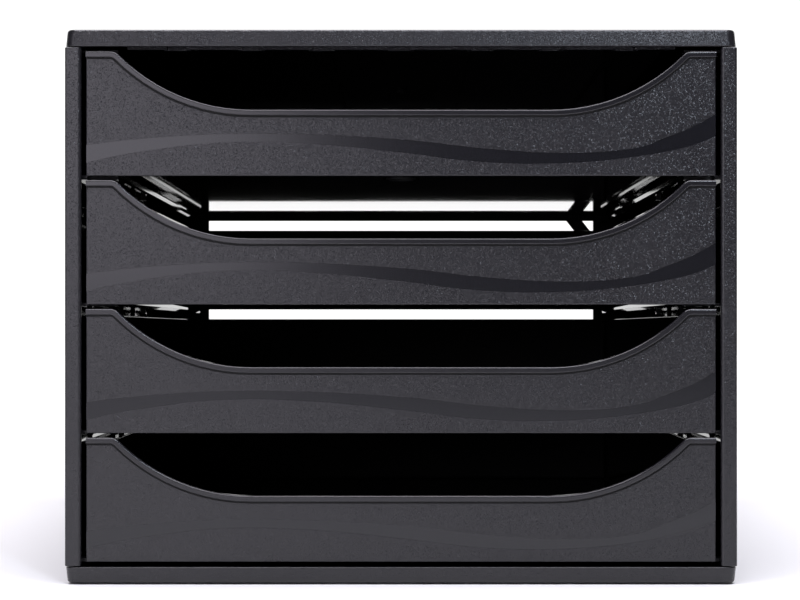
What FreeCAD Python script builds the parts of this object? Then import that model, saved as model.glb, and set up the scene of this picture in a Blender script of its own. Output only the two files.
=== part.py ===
"""A desk cabinet of four stacked letter drawers, moulded in black plastic. All sizes are in millimetres.

The cabinet stands on z = 0, centred on x = 0 and y = 0. Its front faces -Y, and +X is to the right as seen
from the front. The housing is five mouldings that snap together: a top panel and a base panel, both shallow
trays with a skirt, two side panels that carry the runner ledges, and a back panel held in their grooves.
Four equal drawers slide on the ledges. Drawer 1 is the top one.
"""

import FreeCAD, Part
import math
import os

from FreeCAD import Vector

# Overall size
WIDTH = 284.0
DEPTH = 387.0
HEIGHT = 234.6
FRONT = -DEPTH / 2
BACK = DEPTH / 2

# Housing
FOOT_PROUD = 0.6
TOP_HEIGHT = 7.2
BASE_HEIGHT = 6.8
SKIN = 2.2
DRAFT = 0.6
PLAN_RADIUS = 4.0
RIM_ROUND = 1.2
SKIRT_ROUND = 0.35
SEAM = 0.4
SIDE_EDGE = 6.8
FLANGE = 2.4
FIT = 0.1

TOP_UNDER = HEIGHT - TOP_HEIGHT
BASE_OVER = FOOT_PROUD + BASE_HEIGHT
SIDE_LOW = BASE_OVER + SEAM
SIDE_HIGH = TOP_UNDER - SEAM
SKIN_INSIDE = WIDTH / 2 - SKIN

# Drawers
LEVELS = 4
PITCH = 54.4
LOWEST_DRAWER = 9.5
TRAVEL = 260.0
FACE_WIDTH = 266.2
FACE_HEIGHT = 52.6
FACE_THICK = 2.4
LIP_PROUD = 1.1
LIP_HEIGHT = 2.5
LIP_TOP_ROUND = 0.8
LIP_LOW_ROUND = 0.4
GROOVE_HIGH = 0.8
GROOVE_DEEP = 0.6
FACE_ROUND = 0.5
FACE_FRONT = FRONT + LIP_PROUD
FACE_BACK = FACE_FRONT + FACE_THICK
SCOOP_FLOOR = 28.0
SCOOP_FLAT = 63.5
SCOOP_RADIUS = 78.8
SCOOP_CORNER = 5.0
BAND_DEEP = 0.2

TRAY_HALF = 127.2
TRAY_WALL = 1.8
TRAY_UNDER = 0.9
TRAY_TOP = 50.2
TRAY_BACK = 182.5
TRAY_CORNER = 5.0
TRAY_FOOT_ROUND = 0.6
FLOOR_UNDER = 4.9
FLOOR_ROUND = 2.0
REAR_UNDER_IN = 1.7
REAR_UNDER_OUT = 2.9
RIM_OUT = 2.6
RIM_THICK = 1.6
RIM_SOFT = 0.5

# Runner ledges, measured from the lower edge of the drawer front that they carry
LEDGE_IN = 121.5
LEDGE_UNDER = -0.55
LEDGE_OVER = TRAY_UNDER - FIT
LEDGE_FRONT = FRONT + 8.0
LEDGE_SETBACK = 7.0
LEDGE_NOSE = 133.8
LEDGE_BACK = 186.0
GUIDE_IN = 128.0
GUIDE_THICK = 1.8
GUIDE_HEIGHT = 8.0
STOP_LUG_IN = 122.3
OUTER_LUG_IN = 132.9
LUG_WIDE = 2.4
LUG_LONG = 3.0
LUG_HIGH = 2.5
STOP_GAP = 0.5
TAB_HIGH = 2.6
TAB_WIDE = 2.8
TAB_LONG = 4.0
OVERLAP = 0.2

# Back panel
BACK_THICK = 2.4
BACK_FACE = 188.8
BACK_HALF = 139.4
WINDOW_HALF = 118.9
WINDOW_HIGH = 38.0
WINDOW_FROM = 24.0
WINDOW_TOP_GAP = 3.0
WINDOW_ROUND = 2.0
WINDOW_BEAD = 1.0
BEAD_WIDE = 2.0
BRACED_LEVEL = 2
BRACE_WIDE = 7.7
BRACE_RISE = 27.0
BRACE_ANGLE = 52.0


def level_bottom(number):
    """Height of the lower edge of the front of drawer 1, 2, 3 or 4, counted from the top."""
    return LOWEST_DRAWER + (LEVELS - number) * PITCH


def block(x0, x1, y0, y1, z0, z1):
    """A box between two x, two y and two z values."""
    return Part.makeBox(x1 - x0, y1 - y0, z1 - z0, Vector(x0, y0, z0))


def fused(solids):
    """One clean solid made of overlapping or touching ones."""
    return solids[0].multiFuse(solids[1:]).removeSplitter()


def flip(shape):
    """The mirror image on the other side of the cabinet."""
    return shape.mirror(Vector(0, 0, 0), Vector(1, 0, 0))


def both_sides(solids):
    """The given right-hand solids with their mirror images."""
    return solids + [flip(solid) for solid in solids]


def edges_along(shape, direction, keep):
    """Straight edges of a shape that run along a direction and whose middle passes a test."""
    found = []
    for edge in shape.Edges:
        if len(edge.Vertexes) != 2:
            continue
        start, end = [vertex.Point for vertex in edge.Vertexes]
        run = end - start
        if run.Length > 0 and abs(abs(run.normalize().dot(direction)) - 1) < 1e-6 and keep((start + end) * 0.5):
            found.append(edge)
    return found


def edges_in_plane(shape, axis, value):
    """Edges of a shape that lie wholly in the plane where x, y or z has one value."""
    return [
        edge
        for edge in shape.Edges
        if abs(getattr(edge.BoundBox, axis + "Min") - value) < 1e-4
        and abs(getattr(edge.BoundBox, axis + "Max") - value) < 1e-4
    ]


def rounded_plan(width, depth, radius, z):
    """A level rounded rectangle, as a closed wire."""
    a = width / 2
    b = depth / 2
    c = radius * (1 - math.sqrt(0.5))
    edges = []
    for sx, sy in ((1, 1), (-1, 1), (-1, -1), (1, -1)):
        start = Vector(sx * a, sy * (b - radius), z)
        middle = Vector(sx * (a - c), sy * (b - c), z)
        end = Vector(sx * (a - radius), sy * b, z)
        corner = [start, middle, end] if sx * sy > 0 else [end, middle, start]
        edges.append(Part.Arc(*corner).toShape())
    lines = []
    for index, arc in enumerate(edges):
        following = edges[(index + 1) % 4]
        lines.append(Part.LineSegment(arc.Vertexes[-1].Point, following.Vertexes[0].Point).toShape())
    ordered = [edge for pair in zip(edges, lines) for edge in pair]
    return Part.Wire(ordered)


def drafted_tray(wide_z, narrow_z, hollow_from, hollow_to):
    """A shallow tray with a skirt: full size at wide_z, drawn in at narrow_z, hollow between two heights."""
    wide = rounded_plan(WIDTH, DEPTH, PLAN_RADIUS, wide_z)
    narrow = rounded_plan(WIDTH - 2 * DRAFT, DEPTH - 2 * DRAFT, PLAN_RADIUS, narrow_z)
    body = Part.makeLoft([wide, narrow], True, True)
    body = body.makeFillet(RIM_ROUND, edges_in_plane(body, "Z", narrow_z))
    body = body.makeFillet(SKIRT_ROUND, edges_in_plane(body, "Z", wide_z))
    half_x = WIDTH / 2 - SKIN
    half_y = DEPTH / 2 - SKIN
    return body.cut(block(-half_x, half_x, -half_y, half_y, hollow_from, hollow_to))


# Snap hooks that hold the side panels in the skirts of the top and base panels
HOOK_PLACES = (-130.0, 0.0, 130.0)
HOOK_LONG = 18.0
HOOK_THICK = 1.6
HOOK_REACH = 3.6
BARB = 0.6
BARB_HIGH = 1.2
POCKET_DEEP = 0.8
POCKET_ROOM = 0.3


def hook_pockets(barb_low, barb_high):
    """What is cut from a skirt so that the barbs of the hooks lie in it."""
    return both_sides([
        block(SKIN_INSIDE - FIT, SKIN_INSIDE + POCKET_DEEP,
              y - HOOK_LONG / 2 - POCKET_ROOM, y + HOOK_LONG / 2 + POCKET_ROOM,
              barb_low - POCKET_ROOM, barb_high + POCKET_ROOM)
        for y in HOOK_PLACES
    ])


# Stiffening ribs inside the top and base panels
RIB_THICK = 1.6
RIB_HIGH = 2.4
RIB_PLACES = (-96.0, -32.0, 32.0, 96.0)
RIB_FRONT = FRONT + 10.0
RIB_ENDS = 20.0
JOG_PLACES = (-96.0, -64.0, -34.0, 0.0, 34.0, 64.0, 96.0)
JOG_WIDE = 8.0
JOG_BACK = 3.4
JOGGED_HALF = 117.0

TOP_BARB_LOW = SIDE_HIGH + 2.0
BASE_BARB_HIGH = SIDE_LOW - 2.0


# The round mark of the moulding gate under the top panel
TOP_MARK_RADIUS = 3.0
TOP_MARK_PROUD = 1.4


def long_ribs(z0, z1):
    """Ribs that run from front to back, between two heights."""
    return [
        block(x - RIB_THICK / 2, x + RIB_THICK / 2, FRONT + RIB_ENDS, BACK - RIB_ENDS, z0, z1)
        for x in RIB_PLACES
    ]


def jogged_rib():
    """The cross rib behind the front skirt of the top panel. It steps back for a short way at seven places."""
    over = HEIGHT - SKIN + OVERLAP
    rib = block(-JOGGED_HALF, JOGGED_HALF, RIB_FRONT, RIB_FRONT + RIB_THICK, TOP_UNDER, over)
    pads = [
        block(x - JOG_WIDE / 2 - RIB_THICK, x + JOG_WIDE / 2 + RIB_THICK,
              RIB_FRONT, RIB_FRONT + JOG_BACK + RIB_THICK, TOP_UNDER, over)
        for x in JOG_PLACES
    ]
    hollows = [
        block(x - JOG_WIDE / 2, x + JOG_WIDE / 2, RIB_FRONT - 1, RIB_FRONT + JOG_BACK, TOP_UNDER - 1, over + 1)
        for x in JOG_PLACES
    ]
    return fused([rib] + pads).cut(Part.makeCompound(hollows))


def top_panel():
    """The flat top with its skirt, its ribs and the pockets for the snap hooks."""
    plate_under = HEIGHT - SKIN
    tray = drafted_tray(TOP_UNDER, HEIGHT, TOP_UNDER - 1, plate_under)
    tray = tray.cut(Part.makeCompound(hook_pockets(TOP_BARB_LOW, TOP_BARB_LOW + BARB_HIGH)))
    mark = Part.makeCylinder(TOP_MARK_RADIUS, TOP_MARK_PROUD + OVERLAP,
                             Vector(0, 0, plate_under - TOP_MARK_PROUD))
    return fused([tray, jogged_rib(), mark] + long_ribs(plate_under - RIB_HIGH, plate_under + OVERLAP))


# Feet
FOOT_RADIUS = 8.0
FOOT_INSET = 1.2
FOOT_ROUND = 0.3
FOOT_X = 120.0
FOOT_Y = 170.0
FOOT_CORNERS = {
    "foot_front_left": (-FOOT_X, -FOOT_Y),
    "foot_front_right": (FOOT_X, -FOOT_Y),
    "foot_rear_left": (-FOOT_X, FOOT_Y),
    "foot_rear_right": (FOOT_X, FOOT_Y),
}
SEAT_EXTRA = 1.2
SEAT_WALL = 1.4


def base_panel():
    """The base, a tray that opens upwards, with seats for the feet under its corners."""
    plate_over = FOOT_PROUD + SKIN
    tray = drafted_tray(BASE_OVER, FOOT_PROUD, plate_over, BASE_OVER + 1)
    tray = tray.cut(Part.makeCompound(hook_pockets(BASE_BARB_HIGH - BARB_HIGH, BASE_BARB_HIGH)))
    seats = [
        Part.makeCylinder(FOOT_RADIUS + SEAT_WALL, SEAT_EXTRA + OVERLAP, Vector(x, y, plate_over - OVERLAP))
        for x, y in FOOT_CORNERS.values()
    ]
    body = fused([tray] + long_ribs(plate_over - OVERLAP, plate_over + RIB_HIGH) + seats)
    recesses = [
        Part.makeCylinder(FOOT_RADIUS, FOOT_INSET, Vector(x, y, FOOT_PROUD))
        for x, y in FOOT_CORNERS.values()
    ]
    return body.cut(Part.makeCompound(recesses))


def foot(x, y):
    """A round non-slip pad that stands a little proud of the base."""
    pad = Part.makeCylinder(FOOT_RADIUS, FOOT_INSET + FOOT_PROUD, Vector(x, y, 0))
    return pad.makeFillet(FOOT_ROUND, edges_in_plane(pad, "Z", 0.0))


# Lips of the side panels that stand inside the skirts
LIP_IN = 138.0
LIP_OUT = SKIN_INSIDE - 2 * FIT
LIP_REACH = 3.2
LIP_ROOT = 5.0
STIFFENER_PLACES = (-140.0, -70.0, 0.0, 70.0, 140.0)
STIFFENER_PROUD = 1.2
GROOVE_RIB = 1.6
GROOVE_IN = 136.5
EDGE_ROUND = 1.0
INNER_EDGE_ROUND = 1.3
END_ROUND = 0.4


def runner(bottom):
    """The ledge that carries a drawer, with a narrow nose in front and the upstand that guides its side."""
    ledge = block(LEDGE_IN, SKIN_INSIDE + OVERLAP, LEDGE_FRONT + LEDGE_SETBACK, LEDGE_BACK,
                  bottom + LEDGE_UNDER, bottom + LEDGE_OVER)
    nose = block(LEDGE_NOSE, SKIN_INSIDE + OVERLAP, LEDGE_FRONT, LEDGE_FRONT + LEDGE_SETBACK + OVERLAP,
                 bottom + LEDGE_UNDER, bottom + LEDGE_OVER)
    guide = block(GUIDE_IN, GUIDE_IN + GUIDE_THICK, LEDGE_FRONT + LEDGE_SETBACK, LEDGE_BACK,
                  bottom + LEDGE_OVER - OVERLAP, bottom + LEDGE_OVER + GUIDE_HEIGHT)
    return [ledge, nose, guide]


def lugs(bottom):
    """Two lugs side by side above a drawer. The inner one stops the tab on its rim."""
    top = bottom + PITCH + LEDGE_UNDER
    stop = TRAY_BACK - TRAY_WALL - TRAVEL - STOP_GAP
    return [
        block(x, x + LUG_WIDE, stop - LUG_LONG, stop, top - LUG_HIGH, top + OVERLAP)
        for x in (STOP_LUG_IN, OUTER_LUG_IN)
    ]


def snap_hook(y, z0, z1, barb_low):
    """A tongue with a barb that catches in the pocket of a skirt."""
    tongue = block(LIP_OUT - HOOK_THICK, LIP_OUT, y - HOOK_LONG / 2, y + HOOK_LONG / 2, z0, z1)
    profile = [
        Vector(LIP_OUT - FIT, y - HOOK_LONG / 2, barb_low),
        Vector(LIP_OUT + BARB, y - HOOK_LONG / 2, barb_low + BARB_HIGH / 2),
        Vector(LIP_OUT - FIT, y - HOOK_LONG / 2, barb_low + BARB_HIGH),
    ]
    barb = Part.Face(Part.makePolygon(profile + profile[:1])).extrude(Vector(0, HOOK_LONG, 0))
    return [tongue, barb]


def side_panel():
    """The right-hand side panel."""
    half = WIDTH / 2
    front_edge = block(half - SIDE_EDGE, half, FRONT, FRONT + FLANGE, SIDE_LOW, SIDE_HIGH)
    skin = block(SKIN_INSIDE, half, FRONT, BACK, SIDE_LOW, SIDE_HIGH)
    rear_edge = block(GROOVE_IN, half, BACK_FACE + BACK_THICK + FIT, BACK, SIDE_LOW, SIDE_HIGH)
    shell = fused([skin, front_edge, rear_edge])
    outer = edges_along(shell, Vector(0, 0, 1), lambda p: p.x > half - 1e-3)
    shell = shell.makeFillet(EDGE_ROUND, outer)
    inner = edges_along(shell, Vector(0, 0, 1),
                        lambda p: p.x < half - 2 * EDGE_ROUND and abs(p.y - FRONT) < 1e-3)
    shell = shell.makeFillet(INNER_EDGE_ROUND, inner)
    for end in (SIDE_LOW, SIDE_HIGH):
        shell = shell.makeFillet(END_ROUND, [
            e for e in edges_in_plane(shell, "Z", end) if e.BoundBox.YMax < FRONT + 1e-3
        ])

    solids = [shell]
    for number in range(1, LEVELS + 1):
        solids += runner(level_bottom(number))
        solids += lugs(level_bottom(number))
    top_ledge = level_bottom(1) + PITCH + LEDGE_UNDER
    solids.append(block(LEDGE_IN, LIP_IN + OVERLAP, LEDGE_FRONT + LEDGE_SETBACK, LEDGE_BACK,
                        top_ledge, top_ledge + LEDGE_OVER - LEDGE_UNDER))
    for root, tip, step in ((SIDE_HIGH, SIDE_HIGH + LIP_REACH, 1), (SIDE_LOW, SIDE_LOW - LIP_REACH, -1)):
        low, high = sorted((root - step * LIP_ROOT, tip))
        solids.append(block(LIP_IN, LIP_OUT, LEDGE_FRONT, LEDGE_BACK, low, high))
        low, high = sorted((root - step * LIP_ROOT, root))
        solids.append(block(LIP_OUT - OVERLAP, SKIN_INSIDE + OVERLAP, LEDGE_FRONT, LEDGE_BACK, low, high))
    for y in HOOK_PLACES:
        solids += snap_hook(y, SIDE_HIGH, SIDE_HIGH + HOOK_REACH, TOP_BARB_LOW)
        solids += snap_hook(y, SIDE_LOW - HOOK_REACH, SIDE_LOW, BASE_BARB_HIGH - BARB_HIGH)
    for y in STIFFENER_PLACES:
        solids.append(block(SKIN_INSIDE - STIFFENER_PROUD, SKIN_INSIDE + OVERLAP,
                            y - RIB_THICK / 2, y + RIB_THICK / 2, SIDE_LOW, SIDE_HIGH))
    groove = BACK_FACE - FIT
    solids.append(block(GROOVE_IN, SKIN_INSIDE + OVERLAP, groove - GROOVE_RIB, groove, SIDE_LOW, SIDE_HIGH))
    return fused(solids)


def rounded_opening(x0, x1, z0, z1, radius):
    """A rectangular hole through the back panel, with round corners."""
    hole = block(x0, x1, BACK_FACE - 2, BACK_FACE + BACK_THICK + 2, z0, z1)
    return hole.makeFillet(radius, edges_along(hole, Vector(0, 1, 0), lambda p: True))


def window_heights(number):
    """Lower and upper edge of the window behind a drawer."""
    low = level_bottom(number) + WINDOW_FROM
    return low, min(low + WINDOW_HIGH, SIDE_HIGH - WINDOW_TOP_GAP)


def corner_brace(number):
    """The slanting bar across the upper right corner of a window."""
    high = window_heights(number)[1] + OVERLAP
    foot_x = WINDOW_HALF + OVERLAP
    head_x = foot_x - BRACE_RISE / math.tan(math.radians(BRACE_ANGLE))
    across = BRACE_WIDE / math.sin(math.radians(BRACE_ANGLE))
    corners = [
        Vector(foot_x, BACK_FACE, high - BRACE_RISE),
        Vector(foot_x, BACK_FACE, high - BRACE_RISE + across * math.tan(math.radians(BRACE_ANGLE))),
        Vector(head_x + across, BACK_FACE, high),
        Vector(head_x, BACK_FACE, high),
    ]
    return Part.Face(Part.makePolygon(corners + corners[:1])).extrude(Vector(0, BACK_THICK, 0))


def back_panel():
    """The back: a plate with a beaded window behind each drawer, and a brace in one of them."""
    low = FOOT_PROUD + SKIN + OVERLAP
    high = HEIGHT - SKIN - OVERLAP
    solids = [block(-BACK_HALF, BACK_HALF, BACK_FACE, BACK_FACE + BACK_THICK, low, high)]
    holes = []
    for number in range(1, LEVELS + 1):
        z0, z1 = window_heights(number)
        outer = block(-WINDOW_HALF - BEAD_WIDE, WINDOW_HALF + BEAD_WIDE, BACK_FACE + BACK_THICK - OVERLAP,
                      BACK_FACE + BACK_THICK + WINDOW_BEAD, z0 - BEAD_WIDE, z1 + BEAD_WIDE)
        solids.append(outer.makeFillet(WINDOW_ROUND, edges_along(outer, Vector(0, 1, 0), lambda p: True)))
        holes.append(rounded_opening(-WINDOW_HALF, WINDOW_HALF, z0, z1, WINDOW_ROUND))
    return fused([fused(solids).cut(Part.makeCompound(holes)), corner_brace(BRACED_LEVEL)])


def face_outline(inset):
    """The face of a drawer front, standing at y = 0 on z = 0. Its upper edge is lowered by an inset."""
    half = FACE_WIDTH / 2
    top = FACE_HEIGHT - inset
    floor = SCOOP_FLOOR - inset
    radius = SCOOP_RADIUS + inset
    centre_z = SCOOP_FLOOR + SCOOP_RADIUS
    reach = math.sqrt(radius ** 2 - (centre_z - top) ** 2)
    corner = SCOOP_FLAT + reach
    half_turn = math.asin(reach / radius) / 2
    bend_x = SCOOP_FLAT + radius * math.sin(half_turn)
    bend_z = centre_z - radius * math.cos(half_turn)
    points = [(-half, 0), (half, 0), (half, top), (corner, top)]
    edges = [
        Part.LineSegment(Vector(a[0], 0, a[1]), Vector(b[0], 0, b[1])).toShape()
        for a, b in zip(points, points[1:])
    ]
    right = [Vector(corner, 0, top), Vector(bend_x, 0, bend_z), Vector(SCOOP_FLAT, 0, floor)]
    left = [Vector(-point.x, 0, point.z) for point in reversed(right)]
    edges.append(Part.Arc(*right).toShape())
    edges.append(Part.LineSegment(right[-1], left[0]).toShape())
    edges.append(Part.Arc(*left).toShape())
    edges.append(Part.LineSegment(Vector(-corner, 0, top), Vector(-half, 0, top)).toShape())
    edges.append(Part.LineSegment(Vector(-half, 0, top), Vector(-half, 0, 0)).toShape())
    return Part.Face(Part.Wire(edges)), corner


def face_plate(inset, y0, y1):
    """The drawer front's outline made solid between two y values, with the scoop's corners rounded."""
    outline, corner = face_outline(inset)
    plate = outline.extrude(Vector(0, y1 - y0, 0))
    plate.translate(Vector(0, y0, 0))
    corners = edges_along(plate, Vector(0, 1, 0), lambda p: abs(abs(p.x) - corner) < 1e-3)
    return plate.makeFillet(SCOOP_CORNER - inset, corners)


def lip():
    """The raised lip along the upper edge of a drawer front, rounded more above than below."""
    plate = face_plate(0, FRONT, FACE_FRONT + OVERLAP)
    upper_edges = [edge for edge in edges_in_plane(plate, "Y", FRONT) if edge.BoundBox.ZMin > 1]
    plate = plate.makeFillet(LIP_TOP_ROUND, upper_edges)
    below = face_plate(LIP_HEIGHT, FRONT - 1, FACE_BACK)
    strip = plate.cut(below)
    lower_edges = [
        edge
        for edge in edges_in_plane(strip, "Y", FRONT)
        if edge.BoundBox.XLength > 1e-3 and edge.distToShape(below)[0] < 1e-3
    ]
    return strip.makeFillet(LIP_LOW_ROUND, lower_edges)


def lip_groove():
    """What is cut from a drawer front to leave the thin groove under its lip."""
    strip = face_plate(LIP_HEIGHT, FRONT - 1, FACE_FRONT + GROOVE_DEEP)
    return strip.cut(face_plate(LIP_HEIGHT + GROOVE_HIGH, FRONT - 2, FACE_BACK))


# The polished band that waves across each drawer front: x, and z above the front's lower edge
BAND_TOP = ((-136.0, 12.7), (-90.0, 17.2), (-58.0, 18.0), (0.0, 15.4), (40.0, 11.2), (70.0, 9.7),
            (92.0, 10.8), (112.0, 16.2), (136.0, 28.2))
BAND_LOW = ((-136.0, 4.8), (-105.0, 11.0), (-70.0, 14.3), (-40.0, 13.6), (0.0, 9.9), (35.0, 5.9),
            (60.0, 5.2), (95.0, 7.6), (136.0, 18.6))


def band_cut():
    """What is cut from a drawer front to leave the polished band a little below its face."""
    curves = []
    for row in (BAND_TOP, BAND_LOW):
        curve = Part.BSplineCurve()
        curve.interpolate([Vector(x, FACE_FRONT - 1, z) for x, z in row])
        curves.append(curve.toShape())
    ends = [
        Part.LineSegment(curves[0].Vertexes[index].Point, curves[1].Vertexes[index].Point).toShape()
        for index in (0, -1)
    ]
    outline = Part.Wire(Part.__sortEdges__(curves + ends))
    return Part.Face(outline).extrude(Vector(0, 1 + BAND_DEEP, 0))


def drawer_front():
    """The front with its scooped upper edge, its lip and its polished band, on z = 0."""
    plate = face_plate(0, FACE_FRONT, FACE_BACK)
    half = FACE_WIDTH / 2
    rounded = [
        edge
        for edge in edges_in_plane(plate, "Y", FACE_FRONT)
        if edge.BoundBox.ZMax < 1e-3
        or (abs(abs(edge.BoundBox.XMin) - half) < 1e-3 and edge.BoundBox.XLength < 1e-3)
    ]
    plate = plate.makeFillet(FACE_ROUND, rounded)
    return plate.cut(band_cut()).cut(lip_groove()).fuse(lip())


# The ring left by the moulding gate under the tray floor
MARK_RADIUS = 8.4
MARK_HOLE = 6.9
MARK_DEPTH = 81.5
MARK_PROUD = 0.6


def tray():
    """The tray behind a drawer front, on z = 0. Its walls reach below its floor and slide on the ledges."""
    outer = block(-TRAY_HALF, TRAY_HALF, FACE_BACK - OVERLAP, TRAY_BACK, TRAY_UNDER, TRAY_TOP)
    outer = outer.makeFillet(TRAY_CORNER, edges_along(outer, Vector(0, 0, 1), lambda p: p.y > 0))
    under = [e for e in edges_in_plane(outer, "Z", TRAY_UNDER) if e.BoundBox.YMax > FACE_BACK]
    outer = outer.makeFillet(TRAY_FOOT_ROUND, under)
    rim_half = TRAY_HALF + RIM_OUT
    rim_back = TRAY_BACK + RIM_OUT
    rim = block(-rim_half, rim_half, FACE_BACK - OVERLAP, rim_back, TRAY_TOP - RIM_THICK, TRAY_TOP)
    rim = rim.makeFillet(TRAY_CORNER + RIM_OUT, edges_along(rim, Vector(0, 0, 1), lambda p: p.y > 0))
    inner_half = TRAY_HALF - TRAY_WALL
    inner_back = TRAY_BACK - TRAY_WALL
    floor_over = FLOOR_UNDER + TRAY_WALL
    inner = block(-inner_half, inner_half, FACE_BACK - 1, inner_back, floor_over, TRAY_TOP)
    inner = inner.makeFillet(TRAY_CORNER - TRAY_WALL, edges_along(inner, Vector(0, 0, 1), lambda p: p.y > 0))
    inner = inner.makeFillet(FLOOR_ROUND, [
        e for e in edges_in_plane(inner, "Z", floor_over) if e.BoundBox.YMax > FACE_BACK
    ])
    hollow = block(-inner_half, inner_half, FACE_BACK, inner_back, TRAY_UNDER - 1, FLOOR_UNDER)
    rear_gap = [
        Vector(-inner_half, inner_back - OVERLAP, TRAY_UNDER - 1),
        Vector(-inner_half, rim_back, TRAY_UNDER - 1),
        Vector(-inner_half, rim_back, REAR_UNDER_OUT),
        Vector(-inner_half, inner_back - OVERLAP, REAR_UNDER_IN),
    ]
    rear_step = Part.Face(Part.makePolygon(rear_gap + rear_gap[:1])).extrude(Vector(2 * inner_half, 0, 0))
    shell = fused([outer, rim]).cut(inner).cut(fused([hollow, rear_step]))
    brim = [
        e for e in edges_in_plane(shell, "Z", TRAY_TOP)
        if e.BoundBox.XMin > -inner_half - 1e-3 and e.BoundBox.XMax < inner_half + 1e-3
        and e.BoundBox.YMax < inner_back + 1e-3 and e.BoundBox.YMax > FACE_BACK
    ]
    shell = shell.makeFillet(RIM_SOFT, brim)
    tab_x = STOP_LUG_IN + LUG_WIDE / 2
    tab = block(tab_x - TAB_WIDE / 2, tab_x + TAB_WIDE / 2,
                inner_back, inner_back + TAB_LONG, TRAY_TOP - OVERLAP, TRAY_TOP + TAB_HIGH)
    disc, hole = [
        Part.makeCylinder(radius, MARK_PROUD + OVERLAP, Vector(0, FRONT + MARK_DEPTH, FLOOR_UNDER - MARK_PROUD))
        for radius in (MARK_RADIUS, MARK_HOLE)
    ]
    mark = disc.cut(hole)
    return fused([shell, mark] + both_sides([tab]))


def drawer():
    """A whole drawer, a single moulding, with the lower edge of its front on z = 0."""
    return drawer_front().fuse(tray()).removeSplitter()


def export(name, shape):
    """Writes one piece as a STEP file and prints its size."""
    solids = len(shape.Solids)
    if solids != 1 or not shape.isValid():
        raise ValueError(f"{name} has {solids} solids, valid {shape.isValid()}")
    shape.Solids[0].exportStep(f"parts/{name}.step")
    print(f"{name}: {shape.Volume / 1000:.1f} cm3")


os.makedirs("parts", exist_ok=True)
export("top_panel", top_panel())
export("base_panel", base_panel())
right_side = side_panel()
export("right_side_panel", right_side)
export("left_side_panel", flip(right_side))
export("back_panel", back_panel())
for foot_name, place in FOOT_CORNERS.items():
    export(foot_name, foot(*place))
one_drawer = drawer()
for drawer_number in range(1, LEVELS + 1):
    placed = one_drawer.copy()
    placed.translate(Vector(0, 0, level_bottom(drawer_number)))
    export(f"drawer_{drawer_number}", placed)
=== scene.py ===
"""The looks of a desk cabinet of four letter drawers in black moulded plastic. All sizes are in metres."""

import math

import bpy
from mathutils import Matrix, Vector


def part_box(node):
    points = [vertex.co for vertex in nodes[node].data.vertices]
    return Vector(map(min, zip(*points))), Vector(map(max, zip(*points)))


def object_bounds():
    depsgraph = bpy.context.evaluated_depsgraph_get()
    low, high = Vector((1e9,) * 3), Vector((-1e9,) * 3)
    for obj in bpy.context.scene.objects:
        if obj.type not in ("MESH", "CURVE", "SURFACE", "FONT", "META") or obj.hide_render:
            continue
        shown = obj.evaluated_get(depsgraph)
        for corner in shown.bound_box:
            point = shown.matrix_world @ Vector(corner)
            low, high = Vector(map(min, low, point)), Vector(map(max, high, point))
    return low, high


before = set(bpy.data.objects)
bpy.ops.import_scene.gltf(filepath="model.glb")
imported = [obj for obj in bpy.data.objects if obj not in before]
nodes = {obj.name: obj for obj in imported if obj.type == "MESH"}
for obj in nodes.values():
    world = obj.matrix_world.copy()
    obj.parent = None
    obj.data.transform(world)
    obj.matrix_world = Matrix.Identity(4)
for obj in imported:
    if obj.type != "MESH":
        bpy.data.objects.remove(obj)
CAD_LOW, CAD_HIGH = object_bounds()

MM = 0.001
DRAWERS = [f"drawer_{number}" for number in (1, 2, 3, 4)]
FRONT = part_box("drawer_1")[0][1]
DRAWER_FOOT = [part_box(name)[0][2] for name in DRAWERS]
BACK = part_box("right_side_panel")[1][1]

# The polished band on each drawer front: x in millimetres, height above the front's lower edge in millimetres
BAND_TOP = ((-136.0, 12.7), (-90.0, 17.2), (-58.0, 18.0), (0.0, 15.4), (40.0, 11.2), (70.0, 9.7),
            (92.0, 10.8), (112.0, 16.2), (136.0, 28.2))
BAND_LOW = ((-136.0, 4.8), (-105.0, 11.0), (-70.0, 14.3), (-40.0, 13.6), (0.0, 9.9), (35.0, 5.9),
            (60.0, 5.2), (95.0, 7.6), (136.0, 18.6))
BAND_RANGE = (0.0, 30.0)

# Plastic. Colours are linear, scales are in features per metre
SHELL_COLOUR = (0.0090, 0.0086, 0.0108)
DRAWER_COLOUR = (0.0078, 0.0074, 0.0096)
# Inside the housing, and on a drawer behind its face, the colour is darkened to near black: painted shade
INSIDE_PAINTED_SHADE_COLOUR = (0.002, 0.002, 0.0025, 1.0)
BAND_COLOUR = (0.0050, 0.0050, 0.0072, 1.0)
RUBBER_COLOUR = (0.012, 0.012, 0.012, 1.0)
SHELL_ROUGHNESS = 0.29
DRAWER_ROUGHNESS = 0.28
POLISHED_ROUGHNESS = 0.02
DULL_ROUGHNESS = 0.7
BAND_ROUGHNESS = 0.20
LIP_ROUGHNESS = 0.22
PLASTIC_IOR = 1.5
GRAIN_SCALE = 1900.0
CLOUD_SCALE = 22.0
FACET_SCALE = 3300.0
CLOUD_IN_COLOUR = 0.3
CLOUD_IN_ROUGHNESS = 0.05
CLOUD_IN_GLOSS = 0.03
GRAIN_DEPTH = 0.02 * MM
GLINT_TILT = 9.5

# The faint sink lines near the ends of a drawer front, in grain depths
SINK_HALF = 124.1 * MM
SINK_WIDTH = (0.2 * MM, 2.6 * MM)
SINK_DEPTH = 0.6

# A drawer front's face lies behind its lip
LIP_PROUD = 1.1 * MM
FACE_FRONT = FRONT + LIP_PROUD
LIP_STARTS = (FACE_FRONT - 0.04 * MM, FACE_FRONT - 0.14 * MM)

# A surface faces an axis as the part of its normal along that axis rises through STEEP. Side faces further
# out than LEAN_FROM are shaded as if they leaned
STEEP = (0.5, 0.7)
LEAN_FROM = (120.6 * MM, 121.2 * MM)
HOUSING_LEAN = 0.22
TRAY_LEAN = -0.10
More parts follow.
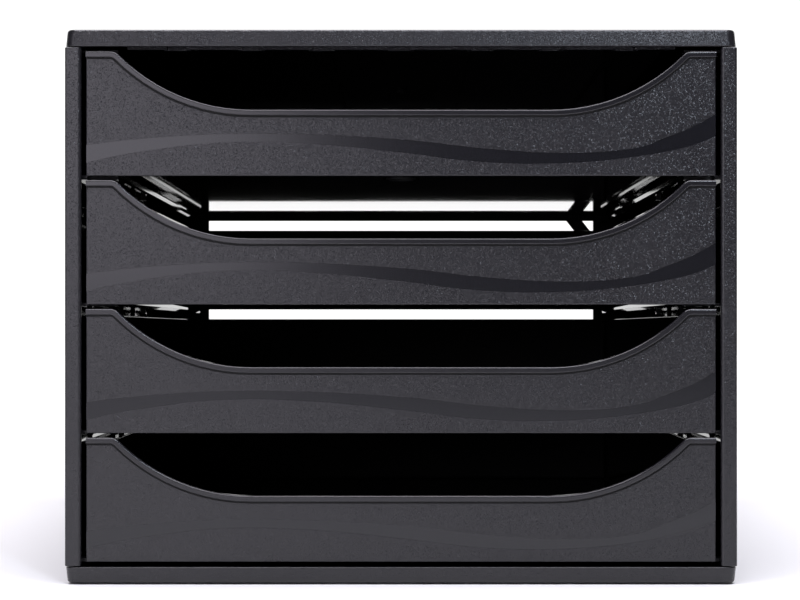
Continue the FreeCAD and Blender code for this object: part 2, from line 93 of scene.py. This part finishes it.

# The housing is polished inside and grained outside, and inside its colour is darkened to near black as
# painted shade: the box is what its outer surfaces enclose
INNER_HALF = 0.1405
HOUSING_LOW = (-INNER_HALF, FRONT + 14.7 * MM, 1.5 * MM)
HOUSING_HIGH = (INNER_HALF, BACK - 2.8 * MM, CAD_HIGH[2] - 1.2 * MM)
# On a drawer everything behind its face is polished and darkened to near black as painted shade
BEHIND_FACE = (None, FACE_FRONT + 0.5 * MM, None)
NO_LIMIT = (None, None, None)


class Nodes:
    """Adds shader nodes to a material and links them."""

    def __init__(self, name):
        self.material = bpy.data.materials.new(name)
        self.material.use_nodes = True
        self.tree = self.material.node_tree
        self.tree.nodes.clear()

    def add(self, kind, inputs=None, **settings):
        """One node, with its settings and with its inputs set to values or linked to sockets."""
        node = self.tree.nodes.new(kind)
        for key, value in settings.items():
            setattr(node, key, value)
        for key, value in (inputs or {}).items():
            self.put(node.inputs[key], value)
        return node

    def put(self, socket, value):
        """Links a socket to an input, or sets the input to a value."""
        if isinstance(value, bpy.types.NodeSocket):
            self.tree.links.new(value, socket)
        else:
            socket.default_value = value

    def math(self, operation, *values, clamp=False):
        """The result of a Math node."""
        node = self.add("ShaderNodeMath", operation=operation, use_clamp=clamp)
        for socket, value in zip(node.inputs, values):
            self.put(socket, value)
        return node.outputs[0]

    def step(self, value, start, end):
        """0 where a value is below start, 1 above end, and a straight ramp between."""
        ends = {"Value": value, "From Min": start, "From Max": end}
        return self.add("ShaderNodeMapRange", ends, clamp=True).outputs[0]

    def total(self, a, b):
        """The sum of two vectors."""
        return self.add("ShaderNodeVectorMath", {0: a, 1: b}, operation="ADD").outputs[0]

    def mix(self, factor, a, b):
        """A colour between a and b."""
        node = self.add("ShaderNodeMix", data_type="RGBA")
        self.put(node.inputs[0], factor)
        self.put(node.inputs[6], a)
        self.put(node.inputs[7], b)
        return node.outputs[2]

    def noise(self, place, scale, detail=2.0):
        """Noise of a scale in features per metre."""
        return self.add("ShaderNodeTexNoise", {"Vector": place, "Scale": scale, "Detail": detail}).outputs[0]

    def curve(self, x, rows, low, high):
        """A smooth curve through rows of (x, value), both in millimetres, read at x in metres."""
        first, last = rows[0][0], rows[-1][0]
        along = self.add("ShaderNodeMapRange", {
            "Value": x, "From Min": first * MM, "From Max": last * MM}, clamp=True).outputs[0]
        node = self.add("ShaderNodeFloatCurve", {"Value": along})
        line = node.mapping.curves[0]
        while len(line.points) < len(rows):
            line.points.new(0.5, 0.5)
        for point, (at, value) in zip(line.points, rows):
            point.location = ((at - first) / (last - first), (value - low) / (high - low))
        node.mapping.update()
        return self.math("MULTIPLY_ADD", node.outputs[0], (high - low) * MM, low * MM)


def inside_box(n, xyz, low, high):
    """1 for points inside a box, with a narrow soft edge, and 0 outside."""
    soft = 0.1 * MM
    found = None
    for axis in range(3):
        for value, sign in ((low[axis], 1), (high[axis], -1)):
            if value is None:
                continue
            here = n.step(xyz.outputs[axis], value - sign * soft, value + sign * soft)
            found = here if found is None else n.math("MULTIPLY", found, here)
    return found


def band_mask(n, xyz, foot):
    """1 on the polished band of a drawer front whose lower edge is at height foot."""
    soft = 0.12 * MM
    over = n.math("SUBTRACT", xyz.outputs[2], foot)
    upper = n.math("SUBTRACT", n.curve(xyz.outputs[0], BAND_TOP, *BAND_RANGE), over)
    lower = n.math("SUBTRACT", over, n.curve(xyz.outputs[0], BAND_LOW, *BAND_RANGE))
    return n.math("MULTIPLY", n.step(upper, -soft, soft), n.step(lower, -soft, soft))


def moulded(name, colour, roughness, inner_low, inner_high, lean, foot=None):
    """Black moulded plastic: grained outside, polished inside a box, on a drawer also at its lip and band.

    Inside, faces that look forwards or backwards are dull, and the colour inside the box is darkened to near
    black as painted shade. Side faces far from the middle are shaded as if they leaned: lean is the upward
    part of their normal.
    """
    n = Nodes(name)
    place = n.add("ShaderNodeTexCoord").outputs["Object"]
    xyz = n.add("ShaderNodeSeparateXYZ", {0: place})
    grain = n.noise(place, GRAIN_SCALE, 1.0)
    cloud = n.noise(place, CLOUD_SCALE, 3.0)
    cells = n.add("ShaderNodeTexVoronoi", {"Vector": place, "Scale": FACET_SCALE}, feature="F1")

    polished_and_painted_shade = inside_box(n, xyz, inner_low, inner_high)
    smooth = polished_and_painted_shade
    if foot is not None:
        proud = n.step(xyz.outputs[1], *LIP_STARTS)
        band = n.math("MULTIPLY", band_mask(n, xyz, foot), n.math("SUBTRACT", 1.0, polished_and_painted_shade))
        band = n.math("MULTIPLY", band, n.math("SUBTRACT", 1.0, proud))
        smooth = n.math("ADD", polished_and_painted_shade, n.math("ADD", band, proud), clamp=True)
    grained = n.math("SUBTRACT", 1.0, smooth)

    patch = n.math("SUBTRACT", cloud, 0.5)
    tone = n.math("MULTIPLY_ADD", patch, CLOUD_IN_COLOUR, 1.0)
    outer = n.add("ShaderNodeVectorMath", {0: colour}, operation="SCALE")
    n.put(outer.inputs["Scale"], tone)
    # Inside the box the base colour turns near black: painted shade
    base = n.mix(polished_and_painted_shade, outer.outputs[0], INSIDE_PAINTED_SHADE_COLOUR)
    rough = n.math("MULTIPLY_ADD", patch, CLOUD_IN_ROUGHNESS, roughness)
    gloss = n.math("MULTIPLY_ADD", cloud, CLOUD_IN_GLOSS, POLISHED_ROUGHNESS)
    facing = n.add("ShaderNodeSeparateXYZ", {0: n.add("ShaderNodeNewGeometry").outputs["Normal"]})
    across, along = [n.step(n.math("ABSOLUTE", facing.outputs[axis]), *STEEP) for axis in (0, 1)]
    gloss = n.add("ShaderNodeMix", {0: along, 2: gloss, 3: DULL_ROUGHNESS}).outputs[0]
    rough = n.add("ShaderNodeMix", {0: polished_and_painted_shade, 2: rough, 3: gloss}).outputs[0]
    if foot is not None:
        base = n.mix(band, base, BAND_COLOUR)
        rough = n.add("ShaderNodeMix", {0: band, 2: rough, 3: BAND_ROUGHNESS}).outputs[0]
        rough = n.add("ShaderNodeMix", {0: proud, 2: rough, 3: LIP_ROUGHNESS}).outputs[0]

    height = grain
    if foot is not None:
        sink = n.math("ABSOLUTE", n.math("SUBTRACT", n.math("ABSOLUTE", xyz.outputs[0]), SINK_HALF))
        height = n.math("MULTIPLY_ADD", n.step(sink, *SINK_WIDTH), SINK_DEPTH, height)
    bump = n.add("ShaderNodeBump", {"Strength": grained, "Distance": GRAIN_DEPTH, "Height": height})
    spread = {0: cells.outputs["Color"], 1: (0.5, 0.5, 0.5)}
    slope = n.add("ShaderNodeVectorMath", spread, operation="SUBTRACT").outputs[0]
    squared = n.add("ShaderNodeVectorMath", {0: slope, 1: slope}, operation="MULTIPLY").outputs[0]
    fourth = n.add("ShaderNodeVectorMath", {0: squared, 1: squared}, operation="MULTIPLY").outputs[0]
    fifth = n.add("ShaderNodeVectorMath", {0: fourth, 1: slope}, operation="MULTIPLY").outputs[0]
    tilt = n.add("ShaderNodeVectorMath", {0: fifth}, operation="SCALE")
    n.put(tilt.inputs["Scale"], n.math("MULTIPLY", grained, GLINT_TILT))
    normal = n.total(bump.outputs[0], tilt.outputs[0])
    outer_side = n.math("MULTIPLY", across, n.step(n.math("ABSOLUTE", xyz.outputs[0]), *LEAN_FROM))
    upward = n.math("MULTIPLY", n.math("MULTIPLY", outer_side, polished_and_painted_shade), lean)
    normal = n.total(normal, n.add("ShaderNodeCombineXYZ", {2: upward}).outputs[0])
    normal = n.add("ShaderNodeVectorMath", {0: normal}, operation="NORMALIZE").outputs[0]
    shader = n.add("ShaderNodeBsdfPrincipled", {
        "Base Color": base, "Roughness": rough, "IOR": PLASTIC_IOR, "Normal": normal})
    n.add("ShaderNodeOutputMaterial", {"Surface": shader.outputs[0]})
    return n.material


def dress(name, material):
    """Puts a material on a node of the frame."""
    mesh_object = nodes[name]
    if not mesh_object.material_slots:
        mesh_object.data.materials.append(material)
    for material_slot in mesh_object.material_slots:
        material_slot.material = material


def rubbery(name, colour):
    """Matt rubber with a fine grain."""
    n = Nodes(name)
    place = n.add("ShaderNodeTexCoord").outputs["Object"]
    grain = n.noise(place, 900.0)
    rough = n.math("MULTIPLY_ADD", grain, 0.2, 0.7)
    bump = n.add("ShaderNodeBump", {"Strength": 0.4, "Distance": 0.1 * MM, "Height": grain})
    shader = n.add("ShaderNodeBsdfPrincipled", {
        "Base Color": colour, "Roughness": rough, "Normal": bump.outputs[0]})
    n.add("ShaderNodeOutputMaterial", {"Surface": shader.outputs[0]})
    return n.material


shell = moulded(
    "housing_plastic_grained", SHELL_COLOUR, SHELL_ROUGHNESS, HOUSING_LOW, HOUSING_HIGH, HOUSING_LEAN)
for name in ("top_panel", "base_panel", "left_side_panel", "right_side_panel", "back_panel"):
    dress(name, shell)
for name, foot in zip(DRAWERS, DRAWER_FOOT):
    dress(name, moulded(
        f"{name}_plastic", DRAWER_COLOUR, DRAWER_ROUGHNESS, BEHIND_FACE, NO_LIMIT, TRAY_LEAN, foot))
rubber = rubbery("foot_rubber_matt", RUBBER_COLOUR)
for name in ("foot_front_left", "foot_front_right", "foot_rear_left", "foot_rear_right"):
    dress(name, rubber)


GLOW_FROM = (0.2, 1.8)


def floor(size, colour):
    """A pale floor that the object stands on. Behind the object it glows and runs into the backdrop."""
    mesh = bpy.data.meshes.new("studio_floor")
    half = size / 2
    corners = [(-half, -half, 0), (half, -half, 0), (half, half, 0), (-half, half, 0)]
    mesh.from_pydata(corners, [], [(0, 1, 2, 3)])
    n = Nodes("studio_floor_white")
    place = n.add("ShaderNodeTexCoord").outputs["Object"]
    behind = n.add("ShaderNodeSeparateXYZ", {0: place}).outputs[1]
    glow = n.step(behind, *GLOW_FROM)
    shader = n.add("ShaderNodeBsdfPrincipled", {
        "Base Color": colour, "Roughness": 0.8,
        "Emission Color": (1.0, 1.0, 1.0, 1.0), "Emission Strength": glow})
    n.add("ShaderNodeOutputMaterial", {"Surface": shader.outputs[0]})
    mesh.materials.append(n.material)
    made = bpy.data.objects.new("studio_floor", mesh)
    bpy.context.scene.collection.objects.link(made)


floor(16.0, (0.82, 0.82, 0.82, 1.0))


def backdrop(distance, width, height, glow):
    """A glowing white sheet far behind the object."""
    mesh = bpy.data.meshes.new("studio_backdrop")
    half = width / 2
    corners = [(-half, distance, -0.5), (half, distance, -0.5),
               (half, distance, height), (-half, distance, height)]
    mesh.from_pydata(corners, [], [(0, 1, 2, 3)])
    n = Nodes("studio_backdrop_white")
    shine = n.add("ShaderNodeEmission", {"Color": (1.0, 1.0, 1.0, 1.0), "Strength": glow})
    n.add("ShaderNodeOutputMaterial", {"Surface": shine.outputs[0]})
    mesh.materials.append(n.material)
    made = bpy.data.objects.new("studio_backdrop", mesh)
    bpy.context.scene.collection.objects.link(made)


backdrop(7.0, 16.0, 8.0, 1.2)


def area_light(name, place, target, size, power, colour=(1.0, 1.0, 1.0)):
    """A soft rectangular light that faces a target."""
    light = bpy.data.lights.new(name, "AREA")
    light.shape = "RECTANGLE"
    light.size, light.size_y = size
    light.energy = power
    light.color = colour
    made = bpy.data.objects.new(name, light)
    made.location = place
    made.rotation_euler = (Vector(target) - Vector(place)).to_track_quat("-Z", "Y").to_euler()
    bpy.context.scene.collection.objects.link(made)


area_light("key_left", (-0.57, -1.35, 0.37), (-0.05, FRONT, 0.25), (0.98, 0.50), 4.25, (1.0, 0.955, 1.07))
area_light("strip_right", (0.31, -1.22, 0.88), (0.05, FRONT, 0.20), (0.10, 0.40), 4.3, (0.78, 0.86, 1.0))
area_light("top", (0, -0.40, 1.5), (0, -0.35, 0), (1.2, 1.2), 40.0, (1.0, 0.97, 1.05))

world = bpy.data.worlds.new("studio_world")
world.use_nodes = True
world.node_tree.nodes["Background"].inputs[0].default_value = (1.0, 1.0, 1.0, 1.0)
world.node_tree.nodes["Background"].inputs[1].default_value = 0.06
bpy.context.scene.world = world

# The camera stands level, opposite the middle of the front
EYE = (0.0, FRONT - 0.820, 0.1078)
LENS = 87.42
SHIFT_UP = 0.0368
SHIFT_SIDE = -0.00125

camera = bpy.data.cameras.new("camera")
camera.lens = LENS
camera.sensor_width = 36.0
camera.shift_x = SHIFT_SIDE
camera.shift_y = SHIFT_UP
camera_object = bpy.data.objects.new("camera", camera)
camera_object.location = EYE
camera_object.rotation_euler = (math.pi / 2, 0.0, 0.0)
bpy.context.scene.collection.objects.link(camera_object)
bpy.context.scene.camera = camera_object
bpy.context.scene.view_settings.view_transform = "Standard"
